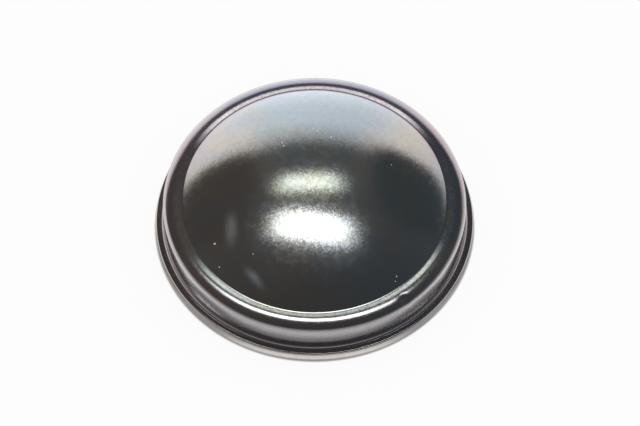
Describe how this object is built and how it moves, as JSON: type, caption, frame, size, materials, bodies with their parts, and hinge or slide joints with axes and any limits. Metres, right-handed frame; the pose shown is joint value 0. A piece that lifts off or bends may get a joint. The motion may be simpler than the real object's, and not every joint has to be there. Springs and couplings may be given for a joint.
{
  "type": "wheel hub cap",
  "caption": "Domed pressed steel cap with a stepped skirt and a turned-down rim, pressed over a wheel hub to keep grease in and dirt out.",
  "frame": {"origin": "centre of the rim's bottom edge, on the cap's axis", "axes": "+Z along the cap's axis, out through the top of the dome; the picture looks along +Y and down"},
  "size_m": [0.066, 0.066, 0.0162],
  "materials": {
    "zinc_plate": "bright zinc plate over smooth pressed steel, with a faint grain"
  },
  "bodies": {
    "root": {"hub_cap": "zinc_plate"}
  },
  "joints": []
}
